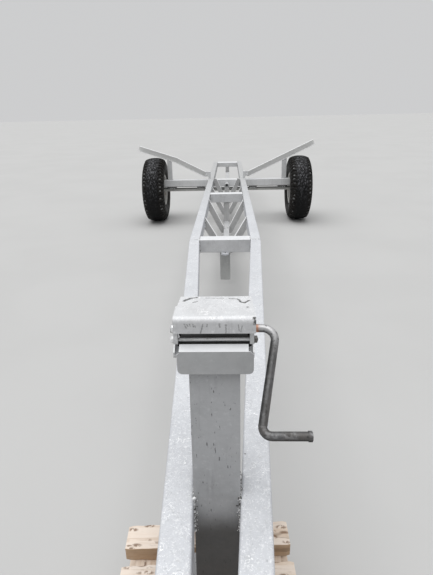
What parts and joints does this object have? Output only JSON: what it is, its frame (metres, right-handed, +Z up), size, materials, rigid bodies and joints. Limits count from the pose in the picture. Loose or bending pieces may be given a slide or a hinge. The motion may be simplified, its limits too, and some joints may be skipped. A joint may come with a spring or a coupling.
{
  "type": "boat trailer",
  "caption": "Galvanised yard trailer for a keel boat: long twin-rail truss frame, V bunk arms, wide wheels on one axle, winch post with bent crank, parked on timber.",
  "frame": {"origin": "middle of the towing eye's vertical bore", "axes": "+Y from the eye to the rear along the trailer, +Z up, +X to the right seen from the eye"},
  "size_m": [2.4653, 9.055, 1.0998],
  "materials": {
    "galvanised": "hot-dip galvanised, matt",
    "wheel_steel": "zinc-grey paint, satin",
    "worn_steel": "dark worn steel with rust",
    "bright_steel": "bright zinc plating",
    "tyre_rubber": "worn black rubber",
    "sawn_timber": "rough sawn softwood"
  },
  "bodies": {
    "frame": {"arm_bracket_left": "galvanised", "arm_bracket_right": "galvanised", "arm_left": "galvanised", "arm_post_left": "galvanised", "arm_post_right": "galvanised", "arm_right": "galvanised", "axle": "galvanised", "axle_seats": "galvanised", "beam_left": "galvanised", "beam_right": "galvanised", "crossmember_axle": "galvanised", "crossmember_front": "galvanised", "crossmember_middle": "galvanised", "crossmember_rear": "galvanised", "drawbar_left": "galvanised", "drawbar_right": "galvanised", "lower_chord": "galvanised", "lug_front": "galvanised", "nose_end_plate": "galvanised", "nose_gussets": "galvanised", "pin_socket": "galvanised", "rail_left": "galvanised", "rail_right": "galvanised", "struts_a": "galvanised", "struts_b": "galvanised", "struts_c": "galvanised", "struts_d": "galvanised", "timber_base": "sawn_timber", "timber_second": "sawn_timber", "timber_third": "sawn_timber", "timber_top_front": "sawn_timber", "timber_top_rear": "sawn_timber", "towing_eye": "galvanised", "truss_post_axle": "galvanised", "truss_post_front": "galvanised", "truss_post_middle": "galvanised", "truss_post_rear": "galvanised", "winch_base": "galvanised", "winch_cover": "galvanised", "winch_post": "galvanised", "winch_post_foot": "galvanised", "winch_rod": "bright_steel", "winch_side_left": "galvanised", "winch_side_right": "galvanised"},
    "wheel_left": {"hub_left": "wheel_steel", "rim_left": "wheel_steel", "tyre_left": "tyre_rubber"},
    "wheel_right": {"hub_right": "wheel_steel", "rim_right": "wheel_steel", "tyre_right": "tyre_rubber"},
    "crank": {"crank": "worn_steel", "crank_collar": "worn_steel", "winch_drum": "worn_steel"}
  },
  "joints": [
    {"name": "wheel_left_turn", "type": "hinge", "parent": "frame", "child": "wheel_left", "pos_m": [-1.017, 6.68, -0.101], "axis": [1, 0, 0], "continuous": true},
    {"name": "wheel_right_turn", "type": "hinge", "parent": "frame", "child": "wheel_right", "pos_m": [1.017, 6.68, -0.101], "axis": [1, 0, 0], "continuous": true},
    {"name": "crank_turn", "type": "hinge", "parent": "frame", "child": "crank", "pos_m": [0, 1.19283, 0.465], "axis": [1, 0, 0], "continuous": true}
  ]
}
